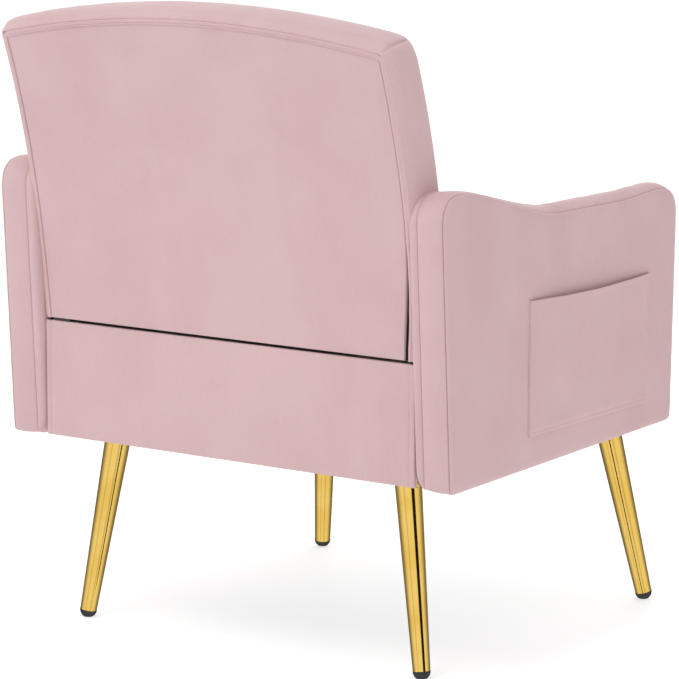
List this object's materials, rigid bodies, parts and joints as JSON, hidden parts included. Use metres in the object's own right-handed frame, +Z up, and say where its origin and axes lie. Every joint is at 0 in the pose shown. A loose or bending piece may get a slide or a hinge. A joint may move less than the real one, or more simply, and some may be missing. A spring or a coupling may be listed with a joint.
{
  "type": "armchair",
  "caption": "Upholstered lounge armchair with slim padded arms, a side pocket on each arm, an arched leaning back, a loose seat cushion and raked tapered legs.",
  "frame": {"origin": "on the floor at the middle of the chair's box", "axes": "+Z up, the chair faces -Y, +X is the sitter's left"},
  "size_m": [0.7148, 0.6664, 0.826],
  "materials": {
    "velvet": "short-pile pink velvet",
    "gold_metal": "mirror-polished gold plating",
    "foot_plastic": "satin black",
    "timber": "sawn and planed, unfinished",
    "spring_steel": "drawn wire",
    "zinc_steel": "zinc plated",
    "zip_metal": "black enamel",
    "zip_tape": "woven tape with a moulded coil",
    "webbing": "woven elastic webbing",
    "dust_cloth": "spun-bonded cloth",
    "fibre": "fibre wadding",
    "foam": "open-cell foam"
  },
  "bodies": {
    "chair": {"front_rail": "timber", "back_rail": "timber", "left_side_rail": "timber", "right_side_rail": "timber", "cross_rail": "timber", "corner_blocks": "timber", "seat_springs": "spring_steel", "spring_clips": "spring_steel", "deck_pad": "fibre", "front_padding": "fibre", "seat_band_cover": "velvet", "dust_cover": "dust_cloth", "rear_rail_padding": "fibre", "rear_rail_panel": "velvet", "back_stiles": "timber", "back_top_rail": "timber", "back_middle_rail": "timber", "back_bottom_rail": "timber", "back_webbing": "webbing", "back_foam": "foam", "back_edge_foam": "foam", "back_rear_padding": "fibre", "back_front_panel": "velvet", "back_boxing": "velvet", "back_rear_panel": "velvet", "back_zip_tape": "zip_tape", "left_arm_posts": "timber", "left_arm_rails": "timber", "left_arm_padding": "foam", "left_arm_outer_panel": "velvet", "left_arm_boxing": "velvet", "left_arm_inner_panel": "velvet", "left_arm_pocket": "velvet", "right_arm_posts": "timber", "right_arm_rails": "timber", "right_arm_padding": "foam", "right_arm_outer_panel": "velvet", "right_arm_boxing": "velvet", "right_arm_inner_panel": "velvet", "right_arm_pocket": "velvet", "left_front_leg": "gold_metal", "right_front_leg": "gold_metal", "left_rear_leg": "gold_metal", "right_rear_leg": "gold_metal", "foot_caps": "foot_plastic", "leg_plates": "zinc_steel", "leg_studs": "zinc_steel", "leg_screws": "zinc_steel", "arm_bolts": "zinc_steel", "arm_tee_nuts": "zinc_steel", "back_bolts": "zinc_steel", "back_barrel_nuts": "zinc_steel"},
    "seat_cushion": {"cushion_core": "foam", "cushion_top_panel": "velvet", "cushion_bottom_panel": "velvet", "cushion_boxing": "velvet", "cushion_zip_tape": "zip_tape"},
    "cushion_slider": {"cushion_zip_slider": "zip_metal"},
    "back_slider": {"back_zip_slider": "zip_metal"}
  },
  "joints": [
    {"name": "cushion_lift", "type": "slide", "parent": "chair", "child": "seat_cushion", "axis": [0, 0, 1], "range_m": [0, 0.35]},
    {"name": "cushion_zip", "type": "slide", "parent": "seat_cushion", "child": "cushion_slider", "axis": [-1, 0, 0], "range_m": [0, 0.44]},
    {"name": "back_zip", "type": "slide", "parent": "chair", "child": "back_slider", "axis": [-1, 0, 0], "range_m": [0, 0.53]}
  ]
}
